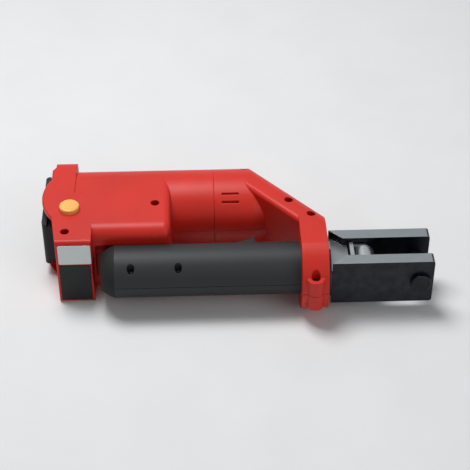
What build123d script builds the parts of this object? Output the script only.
"""Cordless hydraulic press tool for pipe fittings, lying on its side.

Millimetres. +X points out of the press head, +Y from the grip to the motor, +Z up, across the tool.
The origin is the centre of the jaw pin, on the axis that the grip, the cylinder and the head share.
"""

import os
from math import cos, pi, sin, sqrt

from build123d import *

os.makedirs("parts", exist_ok=True)

# Overall form
half_width = 34.0
wall = 3.0
motor_y = 85.0
barrel_r = 34.0
barrel_end_x = -138.0
nose_x = -119.0
nose_r = 30.0
body_x = (-300.0, -211.0)
body_front_y = 14.0
body_front_round = 11.0
body_end_round = 6.0

# Foot, with a hood on each side of the slide rails and a cover on its front
foot_x = (-313.0, -278.0)
foot_y = (0.0, 119.0)
foot_seam_x = -294.4
foot_back_round = 15.0
foot_front_round = 3.0
foot_corner_round = 1.2
hood_y = (33.5, 88.0, 106.0)
hood_x = (-323.0, -316.3)
hood_thickness = 4.0
rail_y = (38.0, 106.0)
rail_neck_x = -318.5
rail_face_x = -323.0
rail_neck_z = 18.5
rail_flange_z = 22.0
cover_x = (-306.5, -280.0)
cover_z = (-31.0, 8.0)
cover_depth = 0.8
cover_rise = 0.7

# Diagonal arm between the motor barrel and the collar
arm_outer_rear = (-145.5, 115.7)
arm_outer_front = (-80.5, 40.7)
arm_width = 27.0
arm_outer_round = 16.0
arm_inner_round = 4.0
arm_corner_cut = 4.0
arm_room_y = 26.0

# Collar round the head end of the grip
collar_x = (-101.0, -78.5)
collar_r = 35.0
ear_x = -90.0
ear_y = 31.5
ear_r = 7.5
ear_half_height = 15.0

# Grip
grip_x = (-259.0, -101.0)
grip_r = 22.5
grip_inner_r = 19.5
grip_cap_x = -271.0
grip_cap_r = 15.0
grip_screw_x = (-245.0, -205.0)
grip_screw_y = -15.5
grip_seat_z = 9.0
grip_post_r = 3.6
grip_rib = 2.0

# Screws across the tool
screw_head_r = 3.4
screw_head_height = 3.0
screw_shank_r = 1.9
screw_recess_r = 3.8
screw_post_r = 4.6
# Each body screw: plan place and height of its head's seat
body_screws = [
    ((-300.5, 14.0), 20.0),
    ((-224.4, 50.5), 20.0),
    ((-145.0, 103.4), 10.0),
    ((-108.0, 51.0), 17.0),
    ((ear_x, ear_y), 14.0),
    ((ear_x, -ear_y), 8.0),
]

# Hydraulic cylinder
bore_r = 14.0
tube_r = 19.0
tube_x = (-132.5, -76.5)
chamber_x = (-128.5, -84.5)
flange_x = (-98.0, -90.0)
flange_r = 26.5
port_r = 2.2
rod_r = 8.0
piston_length = 8.0

# Press head
slot_half = 11.0
head_half = 22.0
head_x = (-76.0, 11.0)
slot_x = -60.0
sleeve_r = 24.8
sleeve_x = -89.0
sleeve_bore_r = 19.06
end_round = 2.5
pin_r = 7.0
pin_knob_r = 8.8
pin_knob_height = 4.0
pin_seal_y = (-18.0, -16.0)
throat_half_height = 14.0

# Ram with its two rollers
roller_x = -46.0
roller_z = 9.3
roller_r = 8.8
roller_half = 6.7
roller_pin_r = 3.0
carriage_half = 10.0
carriage_x = -58.7
carriage_base = 3.4

# Motor
can_r = 22.0
can_x = (-256.0, -192.0)
end_bell_x = -266.0
shaft_r = 2.5
core_r = 14.0
motor_bearing_r = 8.0

# Planetary gearbox
gear_module = 0.8
sun_teeth = 12
planet_teeth = 18
ring_teeth = sun_teeth + 2 * planet_teeth
planet_count = 3
gear_case_r = 25.0
gear_case_x = (-190.0, -152.0)
gear_face_x = (-184.0, -172.0)
carrier_x = (-171.0, -164.0)
planet_pin_r = 2.5

# Pump
eccentric_x = (-148.0, -140.0)
eccentric_throw = 1.5
eccentric_r = 8.0
eccentric_bearing_r = 11.0
plunger_r = 3.5
plunger_x = -144.0
plunger_y = (63.0, 72.2)
plunger_stroke = 3.0
block_x = (-136.5, -122.0)
block_half_height = 16.0
boss_half_height = 9.0

# Contacts, circuit board and the round button
contact_block_x = (-322.0, -305.0)
contact_block_y = (55.0, 95.0)
contact_block_z = 17.0
board_x = (-276.0, -274.4)
board_y = (38.0, 85.0, 96.0)
button_xy = (-298.0, 44.4)
button_r = 8.6
button_top = 38.5

# Openings in the shells
wire_hole_x = -235.0
vent_x = (-166.0, -151.0)
vent_rows = (60.5, 66.5)
vent_width = 1.6

# Seams that show in the outer skin
seam_width = 0.5
seam_depth = 0.5
barrel_seam_x = -173.0

# Trigger and its switch
trigger_x = (-170.0, -138.0)
trigger_half = 7.5
trigger_flange_y = (13.5, 16.6)
switch_x = (-168.0, -140.0)
switch_y = (-9.0, 7.0)
switch_half = 8.0

# Oil reservoir in the grip
reservoir_x = (-236.0, -178.0)
reservoir_y = 2.0
reservoir_r = 13.8
oil_line_y = -13.0
oil_line_r = 2.2

# Running clearances
fit_gap = 0.05
face_gap = 0.3


def round_bar(x, radius, y=0.0, z=0.0, mode=Mode.ADD):
    """Add or cut a round bar along X between the two values of x."""
    with BuildSketch(Plane.YZ.offset(x[0])) as section:
        with Locations((y, z)):
            Circle(radius)
    extrude(section.sketch, amount=x[1] - x[0], mode=mode)


def upright_bar(z, radius, x, y, mode=Mode.ADD):
    """Add or cut a round bar along Z between the two values of z."""
    with BuildSketch(Plane.XY.offset(z[0])) as section:
        with Locations((x, y)):
            Circle(radius)
    extrude(section.sketch, amount=z[1] - z[0], mode=mode)


def cross_bar(y, radius, x, z, mode=Mode.ADD):
    """Add or cut a round bar along Y between the two values of y."""
    with BuildSketch(Plane.XZ.offset(-y[1])) as section:
        with Locations((x, z)):
            Circle(radius)
    extrude(section.sketch, amount=y[1] - y[0], mode=mode)


def block(x, y, z, mode=Mode.ADD):
    """Add or cut a box that spans the three (low, high) pairs."""
    with Locations(((x[0] + x[1]) / 2, (y[0] + y[1]) / 2, (z[0] + z[1]) / 2)):
        Box(x[1] - x[0], y[1] - y[0], z[1] - z[0], mode=mode)


def sleeve(x, outer_r, inner_r, y=0.0, inner_y=None):
    """Ring along X between the two values of x, whose hole may lie off its own axis."""
    with BuildPart() as ring:
        round_bar(x, outer_r, y=y)
        round_bar(x, inner_r, y=y if inner_y is None else inner_y, mode=Mode.SUBTRACT)
    return ring.part


def finish(item, label):
    """Name a finished piece and write its file."""
    item.part.label = label
    export_step(item.part, f"parts/{label}.step")


def half(solid, upper):
    """Keep the half of a solid above or below the parting plane."""
    with BuildPart() as piece:
        add(solid)
        split(bisect_by=Plane.XY, keep=Keep.TOP if upper else Keep.BOTTOM)
    return piece.part


# Plan of the diagonal arm
arm_dx = arm_outer_front[0] - arm_outer_rear[0]
arm_dy = arm_outer_front[1] - arm_outer_rear[1]
arm_length = sqrt(arm_dx**2 + arm_dy**2)
arm_inward = (arm_dy / arm_length, -arm_dx / arm_length)


def arm_point(x, depth):
    """Plan point at x on the line that lies depth inside the arm's outer face."""
    start_x = arm_outer_rear[0] + depth * arm_inward[0]
    start_y = arm_outer_rear[1] + depth * arm_inward[1]
    return (x, start_y + (x - start_x) * arm_dy / arm_dx)


def housing_form(inset):
    """Foot, body, motor barrel and arm, each drawn smaller by inset."""
    with BuildPart() as barrel_trim:
        with BuildSketch(Plane.XY.offset(inset - half_width)):
            with BuildLine():
                Polyline(
                    arm_point(arm_outer_rear[0] - barrel_r, inset),
                    arm_point(collar_x[1], inset),
                    (body_x[0], -collar_r),
                    (body_x[0], motor_y + 2 * barrel_r),
                    close=True,
                )
            make_face()
        extrude(amount=2 * (half_width - inset))
        slanted = barrel_trim.edges().filter_by(lambda e: abs(arm_depth(e) - inset) < 0.1)
        fillet(slanted.filter_by(lambda e: e.length > barrel_r * 3), arm_outer_round - inset)
    with BuildPart() as form:
        # Motor barrel, which is also the back of the body, with a tapered nose cut off along the arm
        with BuildSketch() as barrel:
            with BuildLine():
                Polyline(
                    (body_x[0], motor_y),
                    (body_x[0], motor_y + barrel_r - inset),
                    (barrel_end_x, motor_y + barrel_r - inset),
                    (nose_x - inset, motor_y + nose_r - inset),
                    (nose_x - inset, motor_y),
                    close=True,
                )
            make_face()
        revolve(barrel.sketch, axis=Axis((0, motor_y, 0), (1, 0, 0)))
        add(barrel_trim.part, mode=Mode.INTERSECT)
    with BuildPart() as body:
        # Body with flat sides
        block(
            (body_x[0], body_x[1] - inset),
            (body_front_y + inset, motor_y),
            (inset - half_width, half_width - inset),
        )
        fillet(body.edges().filter_by(Axis.X).group_by(Axis.Y)[0], body_front_round - inset)
        if not inset:
            end_edges = body.faces().sort_by(Axis.X)[-1].edges()
            fillet(end_edges.filter_by(lambda e: e.center().Y < motor_y - 1.0), body_end_round)
    with BuildPart() as arm:
        with BuildSketch(Plane.XY.offset(inset - half_width)) as arm_plan:
            with BuildLine():
                collar_corner = arm_point(collar_x[1] - inset, inset)
                arm_end_y = arm_room_y if inset else 0.0
                Polyline(
                    arm_point(arm_outer_rear[0] + 8.0, inset),
                    collar_corner,
                    (collar_x[1] - inset, arm_end_y),
                    (collar_x[0] + inset, arm_end_y),
                    arm_point(collar_x[0] + inset / 2, arm_width - inset),
                    arm_point(arm_outer_rear[0], arm_width - inset),
                    close=True,
                )
            make_face()
            chamfer(arm_plan.vertices().sort_by_distance(collar_corner)[0], arm_corner_cut - inset)
        extrude(amount=2 * (half_width - inset))
        slanted = arm.edges().filter_by(lambda e: abs(e.tangent_at(0.5).Z) < 0.1)
        outer = slanted.filter_by(lambda e: arm_depth(e) < inset + 0.5 and e.length > 40)
        inner = slanted.filter_by(lambda e: abs(arm_depth(e) - arm_width + inset) < 1.0 and e.length > 20)
        fillet(outer, arm_outer_round - inset)
        fillet(inner, arm_inner_round)
    with BuildPart() as foot:
        with BuildSketch(Plane.XY.offset(inset - half_width)) as foot_plan:
            with BuildLine():
                Polyline(
                    (foot_x[0] + 4.5, foot_y[0]),
                    (foot_x[1], foot_y[0]),
                    (foot_x[1], body_front_y + 6.0),
                    (foot_seam_x, motor_y),
                    (foot_seam_x, foot_y[1]),
                    (foot_x[0] + 1.0, foot_y[1]),
                    (foot_x[0], foot_y[1] - 8.0),
                    (foot_x[0], hood_y[0]),
                    close=True,
                )
            make_face()
            if inset:
                offset(amount=-inset, kind=Kind.INTERSECTION)
            else:
                fillet(foot_plan.vertices().group_by(Axis.Y)[0], foot_corner_round)
        extrude(amount=2 * (half_width - inset))
        with BuildSketch(Plane.YZ.offset(foot_x[0])) as foot_profile:
            with Locations(((foot_y[0] + foot_y[1]) / 2, 0)):
                Rectangle(foot_y[1] - foot_y[0] - 2 * inset, 2 * (half_width - inset))
            fillet(foot_profile.vertices().group_by(Axis.X)[-1], foot_back_round - inset)
            if not inset:
                fillet(foot_profile.vertices().group_by(Axis.X)[0], foot_front_round)
        extrude(foot_profile.sketch, amount=foot_x[1] - foot_x[0], mode=Mode.INTERSECT)
    with BuildPart() as whole:
        add(form.part)
        add(body.part)
        add(arm.part)
        add(foot.part)
    return whole.part


def arm_depth(edge):
    """How far an edge's middle lies inside the arm's outer face."""
    middle = edge.center()
    dx = middle.X - arm_outer_rear[0]
    dy = middle.Y - arm_outer_rear[1]
    return dx * arm_inward[0] + dy * arm_inward[1]


def hollow_form():
    """Space inside the shells, less the saddle that the grip lies in."""
    with BuildPart() as hollow:
        add(housing_form(wall))
        round_bar((foot_x[1], body_x[1]), grip_r + wall, mode=Mode.SUBTRACT)
    return hollow.part


def rail_hood():
    """Lip that stands out from the foot beside the slide rails, on the upper side."""
    with BuildPart() as hood:
        with BuildSketch(Plane.XY.offset(half_width - hood_thickness)):
            with BuildLine():
                bulge_start = (foot_x[0], hood_y[0])
                bulge_end = (hood_x[1], hood_y[1])
                ThreePointArc(bulge_start, (hood_x[0], (hood_y[0] + hood_y[1]) / 2), bulge_end)
                Polyline(
                    bulge_end,
                    (hood_x[1], hood_y[2] - 5.0),
                    (foot_x[0], hood_y[2]),
                    (foot_x[0] + wall, hood_y[2]),
                    (foot_x[0] + wall, hood_y[0]),
                    bulge_start,
                )
            make_face()
        extrude(amount=hood_thickness)
        rim = hood.edges().group_by(Axis.Z)[-1].filter_by(lambda e: e.center().X < foot_x[0] - 1.0)
        fillet(rim, 1.8)
    return hood.part


def collar_form():
    """Ring round the head end of the grip, with a flat on each side."""
    with BuildPart() as collar:
        round_bar(collar_x, collar_r)
        for face_z in (-1, 1):
            cut_z = sorted((face_z * half_width, face_z * (half_width + 4.0)))
            block(collar_x, (-collar_r, collar_r), cut_z, mode=Mode.SUBTRACT)
        for side in (-1, 1):
            upright_bar((-ear_half_height, ear_half_height), ear_r, ear_x, side * ear_y)
    return collar.part


def seam_grooves():
    """Shallow slots in the outer skin: along the parting plane, beside the foot and round the barrel."""
    with BuildPart() as grooves:
        back_y = motor_y + barrel_r + 1.0
        skin_z = (-half_width - 1.0, half_width + 1.0)
        half_seam = seam_width / 2
        block((foot_x[0] - 1.0, collar_x[1] + 1.0), (-ear_y - 2 * ear_r, back_y), (-half_seam, half_seam))
        block((foot_seam_x - seam_width, foot_seam_x), (motor_y - barrel_r / 2, back_y), skin_z)
        block((barrel_seam_x, barrel_seam_x + seam_width), (motor_y - barrel_r - 1.0, back_y), skin_z)
        add(housing_form(seam_depth), mode=Mode.SUBTRACT)
        collar_inside = (collar_x[0] + seam_depth, collar_x[1] - seam_depth)
        round_bar(collar_inside, collar_r - seam_depth, mode=Mode.SUBTRACT)
        upright_bar((-1.0, 1.0), ear_r - seam_depth, ear_x, -ear_y, mode=Mode.SUBTRACT)
    return grooves.part


def screw_posts():
    """Posts for the screws across the housing, cut off inside its walls."""
    with BuildPart() as posts:
        for (x, y), seat in body_screws[:-1]:
            upright_bar((-half_width, half_width), screw_post_r, x, y)
        add(housing_form(wall / 2), mode=Mode.INTERSECT)
    return posts.part


# Housing shells
with BuildPart() as housing:
    add(housing_form(0.0))
    add(collar_form())
    upper_hood = rail_hood()
    add(upper_hood)
    add(mirror(upper_hood, about=Plane.XY, mode=Mode.PRIVATE))
    add(seam_grooves(), mode=Mode.SUBTRACT)
    # Hollow inside, with room for the grip
    add(hollow_form(), mode=Mode.SUBTRACT)
    round_bar((grip_cap_x - 5.0, grip_x[1]), grip_r + fit_gap, mode=Mode.SUBTRACT)
    # Bores of the collar, from the grip to the head, and the window for the pump block
    round_bar((collar_x[0], flange_x[0]), tube_r + fit_gap, mode=Mode.SUBTRACT)
    round_bar(flange_x, flange_r + fit_gap, mode=Mode.SUBTRACT)
    round_bar((flange_x[1], collar_x[1]), sleeve_r + 0.4, mode=Mode.SUBTRACT)
    block(flange_x, (flange_r - 10.0, flange_r + 3.0), (-block_half_height, block_half_height), mode=Mode.SUBTRACT)
    # Ribs that cradle the motor and the gear case
    for rib_x, seat_r in ((can_x[0] + 9.0, can_r), (can_x[1] - 7.0, can_r), (gear_case_x[1] - 8.0, gear_case_r)):
        add(sleeve((rib_x, rib_x + wall), barrel_r - 1.0, seat_r + fit_gap, y=motor_y))
    # Screw posts, recesses and shank holes
    add(screw_posts())
    for (x, y), seat in body_screws:
        upright_bar((seat, half_width + 2.0), screw_recess_r, x, y, mode=Mode.SUBTRACT)
        upright_bar((-seat, seat), screw_shank_r + fit_gap, x, y, mode=Mode.SUBTRACT)
    # Seats for the contact block and the button, the wire hole and the vents
    block(contact_block_x, contact_block_y, (-contact_block_z, contact_block_z), mode=Mode.SUBTRACT)
    block(cover_x, (-1.0, cover_depth), cover_z, mode=Mode.SUBTRACT)
    upright_bar((half_width - wall - 1.0, half_width + 2.0), button_r + 0.25, *button_xy, mode=Mode.SUBTRACT)
    cross_bar((body_front_y - 4.0, grip_r + wall + 6.0), 3.0, wire_hole_x, 0.0, mode=Mode.SUBTRACT)
    for vent_y in vent_rows:
        for face_z in (-1, 1):
            cut_z = sorted((face_z * 15.0, face_z * half_width))
            block(vent_x, (vent_y, vent_y + vent_width), cut_z, mode=Mode.SUBTRACT)

for label, upper in (("housing_upper", True), ("housing_lower", False)):
    with BuildPart() as shell:
        add(half(housing.part, upper))
    finish(shell, label)

with BuildPart() as rail_block:
    # Flange and neck of the slide rails, with a window for the contacts
    block((rail_neck_x, foot_x[0]), rail_y, (-rail_neck_z, rail_neck_z))
    block((rail_face_x, rail_neck_x), rail_y, (-rail_flange_z, rail_flange_z))
    fillet(rail_block.edges().filter_by(Axis.Z).group_by(Axis.X)[0], 3.5)
    window_x = (rail_face_x - 1.0, foot_x[0])
    block(window_x, contact_block_y, (-contact_block_z, contact_block_z), mode=Mode.SUBTRACT)
finish(rail_block, "rail_block")

with BuildPart() as foot_cover:
    block(cover_x, (-cover_rise, cover_depth), cover_z)
    fillet(foot_cover.faces().sort_by(Axis.Y)[0].edges(), cover_rise - 0.1)
finish(foot_cover, "foot_cover")


def screw(place, seat):
    """Socket headed screw along Z, its head on the seat, inside the open part."""
    upright_bar((seat, seat + screw_head_height), screw_head_r, *place)
    with BuildSketch(Plane.XY.offset(seat + screw_head_height)) as socket:
        with Locations(place):
            RegularPolygon(screw_shank_r, 6)
    extrude(socket.sketch, amount=-0.6 * screw_head_height, mode=Mode.SUBTRACT)
    upright_bar((2.0 - seat, seat), screw_shank_r, *place)


with BuildPart() as housing_screws:
    for place, seat in body_screws:
        screw(place, seat)
finish(housing_screws, "housing_screws")


def switch_rib(x):
    """Rib across the grip with a seat for the trigger switch and a hole for the oil line."""
    with BuildPart() as rib:
        round_bar(x, grip_inner_r + 0.5)
        block(x, (switch_y[0], switch_y[1] + 1.0), (-switch_half, switch_half), mode=Mode.SUBTRACT)
        block(x, (switch_y[1], grip_r), (-grip_inner_r, grip_inner_r), mode=Mode.SUBTRACT)
        round_bar(x, oil_line_r + fit_gap, y=oil_line_y, mode=Mode.SUBTRACT)
    return rib.part


def grip_groove():
    """Shallow slot in the grip's skin along the parting plane."""
    with BuildPart() as groove:
        block(grip_x, (-grip_r - 1.0, grip_r + 1.0), (-seam_width / 2, seam_width / 2))
        round_bar(grip_x, grip_r - seam_depth, mode=Mode.SUBTRACT)
    return groove.part


# Grip shells
with BuildPart() as grip:
    for x in grip_screw_x:
        upright_bar((-grip_r, grip_r), grip_post_r, x, grip_screw_y)
    round_bar(grip_x, grip_r, mode=Mode.INTERSECT)
    add(sleeve(grip_x, grip_r, grip_inner_r))
    # Ribs that hold the reservoir and the switch
    for rib_x in (reservoir_x[0] + 11.0, reservoir_x[1] - 14.0):
        add(sleeve((rib_x, rib_x + grip_rib), grip_inner_r + 0.5, reservoir_r, inner_y=reservoir_y))
    for rib_x in (switch_x[0] + 2.0, switch_x[1] - 4.0):
        add(switch_rib((rib_x, rib_x + grip_rib)))
    for x in grip_screw_x:
        upright_bar((grip_seat_z, grip_r), screw_recess_r - 0.6, x, grip_screw_y, mode=Mode.SUBTRACT)
        upright_bar((-grip_seat_z, grip_seat_z), screw_shank_r - 0.35, x, grip_screw_y, mode=Mode.SUBTRACT)
    block((trigger_x[0] - 0.6, trigger_x[1] + 0.6), (trigger_flange_y[1], grip_r + 1.0),
          (-trigger_half - 0.5, trigger_half + 0.5), mode=Mode.SUBTRACT)
    cross_bar((grip_inner_r - 1.5, grip_r + 1.0), 3.0, wire_hole_x, 0.0, mode=Mode.SUBTRACT)
    add(grip_groove(), mode=Mode.SUBTRACT)

for label, upper in (("grip_upper", True), ("grip_lower", False)):
    with BuildPart() as shell:
        add(half(grip.part, upper))
    finish(shell, label)

with BuildPart() as grip_screws:
    for x in grip_screw_x:
        upright_bar((grip_seat_z, grip_seat_z + 2.4), screw_head_r - 0.6, x, grip_screw_y)
        with BuildSketch(Plane.XY.offset(grip_seat_z + 2.4)) as socket:
            with Locations((x, grip_screw_y)):
                RegularPolygon(1.4, 6)
        extrude(socket.sketch, amount=-1.4, mode=Mode.SUBTRACT)
        upright_bar((2.0 - grip_seat_z, grip_seat_z), screw_shank_r - 0.4, x, grip_screw_y)
finish(grip_screws, "grip_screws")

with BuildPart() as grip_end_cap:
    with BuildSketch() as cap_profile:
        with BuildLine():
            cap_rim = (grip_x[0], grip_r)
            cap_shoulder = (grip_cap_x + 6.0, grip_r - 2.4)
            cap_nose = (grip_cap_x, grip_cap_r)
            ThreePointArc(cap_rim, cap_shoulder, cap_nose)
            Polyline(
                cap_nose,
                (grip_cap_x, 0),
                (grip_x[0] + 5.0, 0),
                (grip_x[0] + 5.0, grip_inner_r - fit_gap),
                (grip_x[0], grip_inner_r - fit_gap),
                cap_rim,
            )
        make_face()
    revolve(cap_profile.sketch, axis=Axis.X)
    round_bar((grip_cap_x + wall, grip_x[0] + 5.0), grip_cap_r - wall, mode=Mode.SUBTRACT)
finish(grip_end_cap, "grip_end_cap")

# Contacts
blade_rows = (-11.0, 11.0)
signal_rows = (-3.5, 3.5)
with BuildPart() as contact_block:
    block(contact_block_x, contact_block_y, (-contact_block_z, contact_block_z))
    for z in blade_rows + signal_rows:
        block((contact_block_x[0], contact_block_x[0] + 9.0), (60.0, 90.0), (z - 2.0, z + 2.0), mode=Mode.SUBTRACT)
finish(contact_block, "contact_block")

with BuildPart() as power_terminals:
    for z in blade_rows:
        block((contact_block_x[0] + 1.0, contact_block_x[0] + 9.0), (64.0, 86.0), (z - 0.5, z + 0.5))
    for z in signal_rows:
        block((contact_block_x[0] + 3.0, contact_block_x[0] + 9.0), (70.0, 80.0), (z - 0.4, z + 0.4))
finish(power_terminals, "power_terminals")

# Circuit board and what stands on it
with BuildPart() as circuit_board:
    block(board_x, board_y[:2], (wall - half_width, half_width - wall))
    block(board_x, board_y[1:], (4.0 + wall - half_width, half_width - wall - 4.0))
finish(circuit_board, "circuit_board")

with BuildPart() as board_components:
    back = board_x[0]
    for z in (-20.0, -8.0, 4.0):
        block((back - 5.0, back), (84.0, 94.0), (z, z + 9.0))
    block((back - 7.0, back), (84.0, 95.0), (16.0, 27.0))
    for y in (56.0, 70.0):
        round_bar((back - 14.0, back), 5.5, y=y, z=-14.0)
    block((back - 3.0, back), (50.0, 64.0), (2.0, 16.0))
    block((back - 8.0, back), (67.0, 77.0), (20.0, 26.0))
finish(board_components, "board_components")

# Round button on the foot, with its switch and spring
button_flange_z = (half_width - wall - 2.0, half_width - wall - 0.1)
button_switch_top = 20.0
with BuildPart() as release_button:
    upright_bar((button_flange_z[0], button_top), button_r, *button_xy)
    fillet(release_button.edges().group_by(Axis.Z)[-1], 1.6)
    upright_bar(button_flange_z, button_r + 1.4, *button_xy)
finish(release_button, "release_button")

with BuildPart() as button_spring:
    upright_bar((button_switch_top, button_flange_z[0]), 5.0, *button_xy)
    upright_bar((button_switch_top, button_flange_z[0]), 4.0, *button_xy, mode=Mode.SUBTRACT)
finish(button_spring, "button_spring")

with BuildPart() as button_switch:
    bx, by = button_xy
    block((bx - 6.0, bx + 6.0), (by - 6.0, by + 6.0), (8.0, button_switch_top))
    block((bx - 4.0, bx + 4.0), (by - 4.0, by + 4.0), (wall - half_width, 8.0))
    upright_bar((button_switch_top, button_switch_top + 3.0), 2.0, bx, by)
finish(button_switch, "button_switch")

# Motor
with BuildPart() as motor_can:
    round_bar(can_x, can_r, y=motor_y)
    round_bar((can_x[0], can_x[1] - wall), can_r - 2.0, y=motor_y, mode=Mode.SUBTRACT)
    round_bar((can_x[1] - wall, can_x[1]), motor_bearing_r, y=motor_y, mode=Mode.SUBTRACT)
finish(motor_can, "motor_can")

with BuildPart() as motor_magnets:
    magnet_x = (can_x[0] + 14.0, can_x[1] - 10.0)
    round_bar(magnet_x, can_r - 2.0, y=motor_y)
    round_bar(magnet_x, core_r + 1.0, y=motor_y, mode=Mode.SUBTRACT)
    block(magnet_x, (motor_y - can_r, motor_y + can_r), (-8.0, 8.0), mode=Mode.SUBTRACT)
finish(motor_magnets, "motor_magnets")

commutator_r = 8.0
brush_x = (can_x[0] + 2.0, can_x[0] + 8.0)
with BuildPart() as motor_end_bell:
    round_bar((end_bell_x, can_x[0]), can_r, y=motor_y)
    round_bar((end_bell_x + 4.0, can_x[0]), can_r - wall, y=motor_y, mode=Mode.SUBTRACT)
    round_bar((end_bell_x + 4.0, end_bell_x + 7.0), motor_bearing_r + 2.5, y=motor_y)
    round_bar((end_bell_x + 2.0, end_bell_x + 7.0), motor_bearing_r, y=motor_y, mode=Mode.SUBTRACT)
    for z in (-15.5, 12.5):
        block((end_bell_x + 4.0, brush_x[1]), (motor_y - 4.0, motor_y + 4.0), (z, z + 3.0))
finish(motor_end_bell, "motor_end_bell")

with BuildPart() as motor_brushes:
    for z in (-12.5, commutator_r + 0.2):
        block(brush_x, (motor_y - 3.0, motor_y + 3.0), (z, z + 12.5 - commutator_r - 0.2))
finish(motor_brushes, "motor_brushes")

with BuildPart() as motor_bearings:
    for x in (end_bell_x + 2.0, can_x[1] - 4.0):
        round_bar((x, x + 5.0), motor_bearing_r, y=motor_y)
        round_bar((x, x + 5.0), shaft_r + fit_gap, y=motor_y, mode=Mode.SUBTRACT)
finish(motor_bearings, "motor_bearings")


def tooth_ring(teeth, radii, widths, turn=0.0):
    """Points round a gear whose teeth have the given widths at the given radii, root first."""
    points = []
    for tooth in range(teeth):
        middle = turn + 2 * pi * tooth / teeth
        for side, order in ((-1, 1), (1, -1)):
            for radius, width in list(zip(radii, widths))[::order]:
                angle = middle + side * width / (2 * radius)
                points.append((radius * cos(angle), radius * sin(angle)))
    return points


tooth_widths = (1.5, 1.1, 0.5)
tooth_rise = 0.7
tooth_drop = 1.0


def gear(x, teeth, y, z, turn):
    """Add an outside gear along X inside the open part."""
    pitch_r = gear_module * teeth / 2
    with BuildSketch(Plane.YZ.offset(x[0])) as outline:
        with Locations((y, z)):
            radii = (pitch_r - tooth_drop, pitch_r, pitch_r + tooth_rise)
            Polygon(*tooth_ring(teeth, radii, tooth_widths, turn), align=None)
    extrude(outline.sketch, amount=x[1] - x[0])


with BuildPart() as rotor_shaft:
    round_bar((end_bell_x + 2.0, gear_face_x[0] - 2.0), shaft_r, y=motor_y)
    gear((gear_face_x[0] - 2.0, gear_face_x[1]), sun_teeth, motor_y, 0.0, 0.0)
finish(rotor_shaft, "rotor_shaft")

core_x = (can_x[0] + 16.0, can_x[1] - 12.0)
with BuildPart() as armature:
    round_bar(core_x, core_r, y=motor_y)
    with BuildSketch(Plane.YZ.offset(core_x[0])) as slots:
        with Locations((motor_y, 0)):
            with PolarLocations(core_r, 10):
                Rectangle(5.0, 2.0)
    extrude(slots.sketch, amount=core_x[1] - core_x[0], mode=Mode.SUBTRACT)
    round_bar((core_x[0] - 4.0, core_x[1] + 4.0), core_r - 3.0, y=motor_y)
    round_bar((core_x[0] - 4.0, core_x[1] + 4.0), shaft_r, y=motor_y, mode=Mode.SUBTRACT)
finish(armature, "armature")

with BuildPart() as commutator:
    round_bar((can_x[0] + 0.5, core_x[0] - 6.0), commutator_r, y=motor_y)
    round_bar((can_x[0] + 0.5, core_x[0] - 6.0), shaft_r, y=motor_y, mode=Mode.SUBTRACT)
finish(commutator, "commutator")

with BuildPart() as fan:
    fan_x = (core_x[1] + 4.5, can_x[1] - wall - 1.0)
    round_bar(fan_x, 6.0, y=motor_y)
    round_bar((fan_x[0], fan_x[0] + 1.0), core_r + 4.0, y=motor_y)
    with BuildSketch(Plane.YZ.offset(fan_x[0] + 1.0)) as blades:
        with Locations((motor_y, 0)):
            with PolarLocations(core_r - 2.0, 9):
                Rectangle(10.0, 1.2, rotation=25.0)
    extrude(blades.sketch, amount=fan_x[1] - fan_x[0] - 1.0)
    round_bar(fan_x, shaft_r, y=motor_y, mode=Mode.SUBTRACT)
finish(fan, "fan")

# Planetary gearbox
planet_orbit = gear_module * (sun_teeth + planet_teeth) / 2
ring_pitch_r = gear_module * ring_teeth / 2
output_bearing_x = (gear_case_x[1] - 9.0, gear_case_x[1] - 2.0)
output_bearing_r = 13.0
output_r = 6.0
planet_angles = [pi / 2 + 2 * pi * i / planet_count for i in range(planet_count)]
planet_places = [(motor_y + planet_orbit * cos(a), planet_orbit * sin(a)) for a in planet_angles]

with BuildPart() as gear_case:
    round_bar(gear_case_x, gear_case_r, y=motor_y)
    round_bar((gear_case_x[0] + 2.0, output_bearing_x[0]), ring_pitch_r + 1.4, y=motor_y, mode=Mode.SUBTRACT)
    round_bar((gear_case_x[0], gear_case_x[0] + 2.0), motor_bearing_r + 0.5, y=motor_y, mode=Mode.SUBTRACT)
    round_bar(output_bearing_x, output_bearing_r, y=motor_y, mode=Mode.SUBTRACT)
    round_bar((output_bearing_x[1], gear_case_x[1]), output_r + 1.0, y=motor_y, mode=Mode.SUBTRACT)
    ring_x = (gear_face_x[0] - 1.5, gear_face_x[1] + 0.5)
    with BuildSketch(Plane.YZ.offset(ring_x[0])) as ring_gear:
        with Locations((motor_y, 0)):
            Circle(ring_pitch_r + 2.0)
            ring_radii = (ring_pitch_r + tooth_drop, ring_pitch_r, ring_pitch_r - tooth_rise)
            ring_points = tooth_ring(ring_teeth, ring_radii, tooth_widths, pi / 2)
            Polygon(*ring_points, align=None, mode=Mode.SUBTRACT)
    extrude(ring_gear.sketch, amount=ring_x[1] - ring_x[0])
finish(gear_case, "gear_case")

for number, (place, angle) in enumerate(zip(planet_places, planet_angles), start=1):
    with BuildPart() as planet:
        gear(gear_face_x, planet_teeth, *place, angle + pi / planet_teeth)
        round_bar(gear_face_x, planet_pin_r + fit_gap, *place, mode=Mode.SUBTRACT)
    finish(planet, f"planet_gear_{number}")

with BuildPart() as planet_carrier:
    round_bar(carrier_x, planet_orbit + 5.0, y=motor_y)
    round_bar(carrier_x, output_r, y=motor_y, mode=Mode.SUBTRACT)
    for place in planet_places:
        round_bar(carrier_x, planet_pin_r, *place, mode=Mode.SUBTRACT)
finish(planet_carrier, "planet_carrier")

with BuildPart() as planet_pins:
    for place in planet_places:
        round_bar((gear_face_x[0] - 0.5, carrier_x[1]), planet_pin_r, *place)
finish(planet_pins, "planet_pins")

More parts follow.
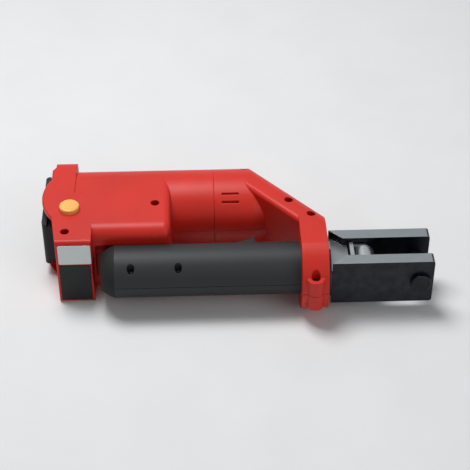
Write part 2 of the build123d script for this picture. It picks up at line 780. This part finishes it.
with BuildPart() as output_bearing:
    round_bar(output_bearing_x, output_bearing_r, y=motor_y)
    round_bar(output_bearing_x, output_r + fit_gap, y=motor_y, mode=Mode.SUBTRACT)
finish(output_bearing, "output_bearing")

# Pump: eccentric, plunger and the block that carries the oil to the cylinder
stub_r = 5.0
stub_end_x = block_x[0] + 6.5
with BuildPart() as eccentric_shaft:
    round_bar((carrier_x[0], eccentric_x[0]), output_r, y=motor_y)
    round_bar(eccentric_x, eccentric_r, y=motor_y, z=eccentric_throw)
    round_bar((eccentric_x[1], stub_end_x), stub_r, y=motor_y)
finish(eccentric_shaft, "eccentric_shaft")

with BuildPart() as eccentric_bearing:
    round_bar(eccentric_x, eccentric_bearing_r, y=motor_y, z=eccentric_throw)
    round_bar(eccentric_x, eccentric_r, y=motor_y, z=eccentric_throw, mode=Mode.SUBTRACT)
finish(eccentric_bearing, "eccentric_bearing")

plunger_bore_y = plunger_y[0] - plunger_stroke - 0.5
with BuildPart() as pump_block:
    with BuildSketch(Plane.XY.offset(-block_half_height)) as block_plan:
        with BuildLine():
            block_top_y = 94.5
            block_low_y = 62.0
            Polyline(
                (block_x[0], block_low_y),
                (block_x[0], block_top_y),
                (block_x[0] + 4.5, block_top_y),
                arm_point(collar_x[1] - wall - 0.5, wall + 1.0),
                (collar_x[1] - wall - 0.5, flange_r + 0.5),
                (flange_x[1], flange_r + 0.5),
                (flange_x[1], flange_r - 6.5),
                (flange_x[0], flange_r - 6.5),
                arm_point(flange_x[0], arm_width - 7.0),
                arm_point(block_x[1] - 3.4, arm_width - 7.0),
                close=True,
            )
        make_face()
    extrude(block_plan.sketch, amount=2 * block_half_height)
    boss_z = (-boss_half_height, boss_half_height)
    block((plunger_x - 5.0, block_x[0]), (block_low_y - 4.0, plunger_y[1] - 2.0), boss_z)
    round_bar(flange_x, flange_r, mode=Mode.SUBTRACT)
    for place in ((-108.0, 51.0), (ear_x, ear_y)):
        upright_bar((-block_half_height, block_half_height), screw_post_r + 0.4, *place, mode=Mode.SUBTRACT)
    round_bar((block_x[0], stub_end_x), eccentric_r, y=motor_y, mode=Mode.SUBTRACT)
    cross_bar((plunger_bore_y, plunger_y[1]), plunger_r + fit_gap, plunger_x, 0.0, mode=Mode.SUBTRACT)
finish(pump_block, "pump_block")

with BuildPart() as block_bearing:
    round_bar((block_x[0], stub_end_x), eccentric_r, y=motor_y)
    round_bar((block_x[0], stub_end_x), stub_r + fit_gap, y=motor_y, mode=Mode.SUBTRACT)
finish(block_bearing, "block_bearing")

with BuildPart() as pump_plunger:
    cross_bar(plunger_y, plunger_r, plunger_x, 0.0)
finish(pump_plunger, "pump_plunger")

with BuildPart() as plunger_spring:
    cross_bar((plunger_bore_y, plunger_y[0]), plunger_r - 0.5, plunger_x, 0.0)
    cross_bar((plunger_bore_y, plunger_y[0]), plunger_r - 1.2, plunger_x, 0.0, mode=Mode.SUBTRACT)
finish(plunger_spring, "plunger_spring")

with BuildPart() as valve_plugs:
    for place in ((-128.0, 74.0), (-118.0, 70.0), (-99.5, 45.0)):
        upright_bar((block_half_height, block_half_height + 2.5), 4.2, *place)
        with BuildSketch(Plane.XY.offset(block_half_height + 2.5)) as socket:
            with Locations(place):
                RegularPolygon(2.3, 6)
        extrude(socket.sketch, amount=-1.8, mode=Mode.SUBTRACT)
finish(valve_plugs, "valve_plugs")

# Hydraulic cylinder in the head end of the grip
groove_x = (-82.2, -79.8)
with BuildPart() as cylinder_tube:
    round_bar(tube_x, tube_r)
    round_bar(flange_x, flange_r)
    round_bar((chamber_x[0], tube_x[1]), bore_r, mode=Mode.SUBTRACT)
    round_bar((groove_x[0] + 0.2, groove_x[1] - 0.2), tube_r + 0.1, mode=Mode.SUBTRACT)
    round_bar((groove_x[0] - 0.01, groove_x[1] + 0.01), tube_r - 1.1)
    round_bar((chamber_x[0], tube_x[1]), bore_r, mode=Mode.SUBTRACT)
    port_x = (flange_x[0] + flange_x[1]) / 2
    cross_bar((bore_r - 1.0, flange_r + 1.0), port_r, port_x, 0.0, mode=Mode.SUBTRACT)
finish(cylinder_tube, "cylinder_tube")

with BuildPart() as swivel_ring:
    round_bar((groove_x[0] + 0.2, groove_x[1] - 0.2), tube_r + 1.0)
    round_bar((groove_x[0] + 0.2, groove_x[1] - 0.2), tube_r - 1.1, mode=Mode.SUBTRACT)
finish(swivel_ring, "swivel_ring")

with BuildPart() as rod_gland:
    round_bar((chamber_x[1], tube_x[1]), bore_r)
    round_bar((chamber_x[1], tube_x[1]), rod_r + fit_gap, mode=Mode.SUBTRACT)
    round_bar((chamber_x[1] + 3.0, chamber_x[1] + 5.5), rod_r + 2.0, mode=Mode.SUBTRACT)
finish(rod_gland, "rod_gland")

with BuildPart() as rod_seal:
    round_bar((chamber_x[1] + 3.0, chamber_x[1] + 5.5), rod_r + 2.0)
    round_bar((chamber_x[1] + 3.0, chamber_x[1] + 5.5), rod_r + fit_gap, mode=Mode.SUBTRACT)
finish(rod_seal, "rod_seal")

piston_x = (chamber_x[0] + 0.5, chamber_x[0] + 0.5 + piston_length)
seal_x = (piston_x[0] + 2.5, piston_x[0] + 5.5)
seal_seat_r = bore_r - 2.6
with BuildPart() as piston:
    round_bar(piston_x, bore_r - fit_gap)
    add(sleeve(seal_x, bore_r, seal_seat_r), mode=Mode.SUBTRACT)
finish(piston, "piston")

with BuildPart() as piston_seal:
    round_bar(seal_x, bore_r - 0.03)
    round_bar(seal_x, seal_seat_r, mode=Mode.SUBTRACT)
finish(piston_seal, "piston_seal")

with BuildPart() as piston_rod:
    round_bar((piston_x[1], carriage_x), rod_r)
finish(piston_rod, "piston_rod")

with BuildPart() as return_spring:
    round_bar((piston_x[1], chamber_x[1]), bore_r - 1.6)
    round_bar((piston_x[1], chamber_x[1]), rod_r + 1.4, mode=Mode.SUBTRACT)
finish(return_spring, "return_spring")

# Oil reservoir, a soft bladder with folds, and its line to the cylinder
with BuildPart() as oil_reservoir:
    with BuildSketch() as bladder:
        with BuildLine():
            fold = (reservoir_x[1] - reservoir_x[0] - 14.0) / 6
            folds = []
            for i in range(6):
                fold_x = reservoir_x[0] + 7.0 + i * fold
                folds += [(fold_x, reservoir_y + reservoir_r), (fold_x + 0.6 * fold, reservoir_y + reservoir_r)]
                folds += [(fold_x + 0.8 * fold, reservoir_y + reservoir_r - 1.6)]
            Polyline(
                (reservoir_x[0], reservoir_y),
                (reservoir_x[0], reservoir_y + reservoir_r - 4.0),
                *folds,
                (reservoir_x[1] - 3.0, reservoir_y + reservoir_r),
                (reservoir_x[1], reservoir_y + reservoir_r - 3.0),
                (reservoir_x[1], reservoir_y),
                close=True,
            )
        make_face()
    revolve(bladder.sketch, axis=Axis((0, reservoir_y, 0), (1, 0, 0)))
    round_bar((reservoir_x[1] - 6.0, reservoir_x[1] + 4.0), oil_line_r + 1.4, y=oil_line_y)
finish(oil_reservoir, "oil_reservoir")

with BuildPart() as oil_line:
    round_bar((reservoir_x[1] + 4.0, tube_x[0]), oil_line_r, y=oil_line_y)
finish(oil_line, "oil_line")

# Trigger and its switch
with BuildPart() as trigger:
    with BuildSketch(Plane.XY.offset(-trigger_half)) as trigger_side:
        with BuildLine():
            trigger_foot_y = trigger_flange_y[0]
            Polyline(
                (trigger_x[0] + 1.0, 27.5),
                (trigger_x[0], 26.0),
                (trigger_x[0], trigger_foot_y),
                (trigger_x[1], trigger_foot_y),
                (trigger_x[1], 31.0),
                (trigger_x[1] - 2.0, 33.5),
            )
            ThreePointArc((trigger_x[1] - 2.0, 33.5), (trigger_x[1] - 15.0, 28.2), (trigger_x[0] + 1.0, 27.5))
        make_face()
    extrude(trigger_side.sketch, amount=2 * trigger_half)
    side_edges = trigger.edges().filter_by(lambda e: abs(e.center().Z) > trigger_half - 0.1)
    finger_rim = side_edges.filter_by(lambda e: e.center().Y > 26.5)
    fillet(finger_rim, 1.5)
    block((trigger_x[0] - 3.0, trigger_x[1] + 3.0), trigger_flange_y, (-trigger_half - 2.0, trigger_half + 2.0))
finish(trigger, "trigger")

trigger_spring_x = switch_x[0] + 6.0
with BuildPart() as trigger_switch:
    block(switch_x, switch_y, (-switch_half, switch_half))
    block((switch_x[1] - 9.0, switch_x[1] - 3.0), (switch_y[1], switch_y[1] + 1.0), (-2.0, 2.0))
finish(trigger_switch, "trigger_switch")

with BuildPart() as trigger_spring:
    cross_bar((switch_y[1], trigger_flange_y[0]), 3.5, trigger_spring_x, 0.0)
    cross_bar((switch_y[1], trigger_flange_y[0]), 2.7, trigger_spring_x, 0.0, mode=Mode.SUBTRACT)
finish(trigger_spring, "trigger_spring")

# Press head: a fork that turns on the nose of the cylinder
with BuildPart() as fork_head:
    block(head_x, (-head_half, head_half), (-head_half, head_half))
    free_corners = fork_head.edges().filter_by(Axis.Y).group_by(Axis.X)[-1]
    fillet(free_corners, end_round)
    with BuildSketch(Plane.XY.offset(-head_half - 1.0)) as throat:
        with BuildLine():
            throat_x = slot_x - 4.0
            throat_wide = head_half + 1.5
            Polyline(
                (head_x[0] - 1.0, -throat_wide),
                (throat_x, -slot_half),
                (slot_x + 1.0, -slot_half),
                (slot_x + 1.0, slot_half),
                (throat_x, slot_half),
                (head_x[0] - 1.0, throat_wide),
                close=True,
            )
        make_face()
    throat_depth = head_half + 1.0 - throat_half_height
    extrude(throat.sketch, amount=throat_depth, mode=Mode.SUBTRACT)
    extrude(throat.sketch.moved(Location((0, 0, 2 * head_half + 2.0))), amount=-throat_depth, mode=Mode.SUBTRACT)
    round_bar((sleeve_x, head_x[0]), sleeve_r)
    slot_length = (slot_x, head_x[1] + 1.0)
    block(slot_length, (-slot_half, slot_half), (-head_half - 1.0, head_half + 1.0), mode=Mode.SUBTRACT)
    round_bar((sleeve_x, tube_x[1] + face_gap), sleeve_bore_r, mode=Mode.SUBTRACT)
    round_bar(groove_x, tube_r + 1.3, mode=Mode.SUBTRACT)
    round_bar((head_x[0] - 1.0, slot_x + 1.0), rod_r + face_gap, mode=Mode.SUBTRACT)
    cross_bar((-head_half - 1.0, head_half + 1.0), pin_r + fit_gap, 0.0, 0.0, mode=Mode.SUBTRACT)
    cross_bar(pin_seal_y, pin_r + 1.6, 0.0, 0.0, mode=Mode.SUBTRACT)
finish(fork_head, "fork_head")

with BuildPart() as pin_seal_ring:
    cross_bar(pin_seal_y, pin_r + 1.6, 0.0, 0.0)
    cross_bar(pin_seal_y, pin_r + 0.03, 0.0, 0.0, mode=Mode.SUBTRACT)
finish(pin_seal_ring, "pin_seal_ring")

with BuildPart() as jaw_pin:
    cross_bar((-head_half - pin_knob_height, -head_half), pin_knob_r, 0.0, 0.0)
    fillet(jaw_pin.edges().group_by(Axis.Y)[0], 1.2)
    cross_bar((-head_half, head_half), pin_r, 0.0, 0.0)
    chamfer(jaw_pin.edges().group_by(Axis.Y)[-1], 1.0)
finish(jaw_pin, "jaw_pin")

# Ram: carriage, rollers and their pins
plate_y = roller_half + face_gap
plate_front = roller_x + 5.0
with BuildPart() as roller_carriage:
    carriage_half_z = roller_z + roller_r + 0.4
    base_x = (carriage_x, carriage_x + carriage_base)
    plate_z = (2.0 - carriage_half_z, carriage_half_z - 2.0)
    block(base_x, (-carriage_half, carriage_half), (-carriage_half_z, carriage_half_z))
    for y in (-carriage_half, plate_y):
        block((carriage_x, plate_front), (y, y + carriage_half - plate_y), plate_z)
    plate_corners = roller_carriage.edges().filter_by(Axis.Y).group_by(Axis.X)[-1]
    fillet(plate_corners, 5.0)
    for z in (-roller_z, roller_z):
        cross_bar((-carriage_half, carriage_half), roller_pin_r, roller_x, z, mode=Mode.SUBTRACT)
finish(roller_carriage, "roller_carriage")

with BuildPart() as roller_pins:
    for z in (-roller_z, roller_z):
        cross_bar((-carriage_half, carriage_half), roller_pin_r, roller_x, z)
finish(roller_pins, "roller_pins")

for label, z in (("ram_roller_upper", roller_z), ("ram_roller_lower", -roller_z)):
    with BuildPart() as roller:
        cross_bar((-roller_half, roller_half), roller_r, roller_x, z)
        chamfer(roller.edges(), 0.6)
        cross_bar((-roller_half, roller_half), roller_pin_r + fit_gap, roller_x, z, mode=Mode.SUBTRACT)
    finish(roller, label)

# Wires between the contacts, the board and the motor
with BuildPart() as power_leads:
    for z in blade_rows:
        round_bar((contact_block_x[1], board_x[0]), 1.3, y=79.0, z=z)
        round_bar((board_x[1], end_bell_x), 1.3, y=79.0, z=z)
finish(power_leads, "power_leads")
